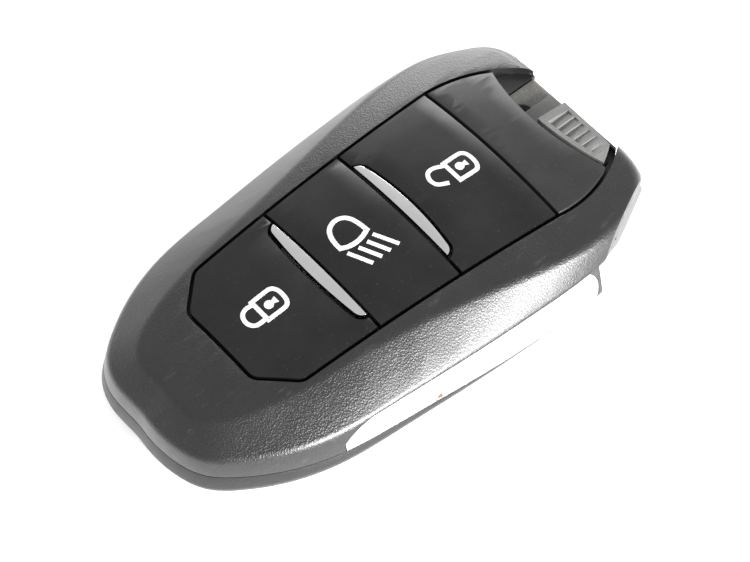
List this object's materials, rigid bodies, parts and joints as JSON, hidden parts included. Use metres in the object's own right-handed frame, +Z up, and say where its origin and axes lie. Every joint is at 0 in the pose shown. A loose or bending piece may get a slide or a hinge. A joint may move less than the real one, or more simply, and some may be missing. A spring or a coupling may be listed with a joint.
{
  "type": "car key fob",
  "caption": "Smart car key fob with three press buttons, bright trims, a removable battery cover and an emergency key that pulls out beside a release slider.",
  "frame": {"origin": "centre of the footprint, on the flat back", "axes": "+X across to the right with the buttons up, +Y along the fob to the key ring end, +Z up through the buttons"},
  "size_m": [0.0462, 0.0805, 0.0167],
  "materials": {
    "shell": "fine grained black",
    "button_skin": "satin black",
    "bright": "polished",
    "inner_plastic": "plain black",
    "silicone": "soft matte",
    "board": "green solder mask",
    "chip": "black epoxy",
    "steel": "satin",
    "copper": "enamelled wire",
    "contact": "bright plated",
    "ceramic": "tan ceramic"
  },
  "bodies": {
    "fob": {"antenna_core": "chip", "antenna_winding": "copper", "battery": "steel", "battery_minus_contact": "contact", "battery_plus_contact": "contact", "button_frame": "inner_plastic", "chassis": "inner_plastic", "chip_capacitors": "ceramic", "circuit_board": "board", "control_chip": "chip", "corner_trim_left": "bright", "corner_trim_right": "bright", "crystal": "contact", "front_shell": "shell", "keypad_mat": "silicone", "light_switch": "contact", "lock_switch": "contact", "lower_trim_strip": "bright", "radio_chip": "chip", "release_spring": "steel", "side_trim_left": "bright", "side_trim_right": "bright", "top_panel": "button_skin", "unlock_switch": "contact", "upper_trim_strip": "bright"},
    "key": {"key_blade": "steel", "key_head": "inner_plastic"},
    "slider": {"release_slider": "inner_plastic"},
    "cover": {"rear_cover": "shell"},
    "lock": {"lock_button": "button_skin", "lock_pad": "silicone", "lock_plunger": "chip"},
    "light": {"light_button": "button_skin", "light_pad": "silicone", "light_plunger": "chip"},
    "unlock": {"unlock_button": "button_skin", "unlock_pad": "silicone", "unlock_plunger": "chip"}
  },
  "joints": [
    {"name": "lock_press", "type": "slide", "parent": "fob", "child": "lock", "axis": [0, 0, -1], "range_m": [0, 0.00035], "stiffness_N_per_m": 1200, "springref_m": -0.0002},
    {"name": "light_press", "type": "slide", "parent": "fob", "child": "light", "axis": [0, 0, -1], "range_m": [0, 0.00035], "stiffness_N_per_m": 1200, "springref_m": -0.0002},
    {"name": "unlock_press", "type": "slide", "parent": "fob", "child": "unlock", "axis": [0, 0, -1], "range_m": [0, 0.00035], "stiffness_N_per_m": 1200, "springref_m": -0.0002},
    {"name": "release_slide", "type": "slide", "parent": "fob", "child": "slider", "axis": [1, 0, 0], "range_m": [0, 0.0009], "stiffness_N_per_m": 400, "springref_m": -0.0005, "deforming": ["release_spring"]},
    {"name": "key_pull", "type": "slide", "parent": "fob", "child": "key", "axis": [0, 1, 0], "range_m": [0, 0.062]},
    {"name": "rear_cover_lift", "type": "slide", "parent": "fob", "child": "cover", "axis": [0, 0, -1], "range_m": [0, 0.02]}
  ]
}
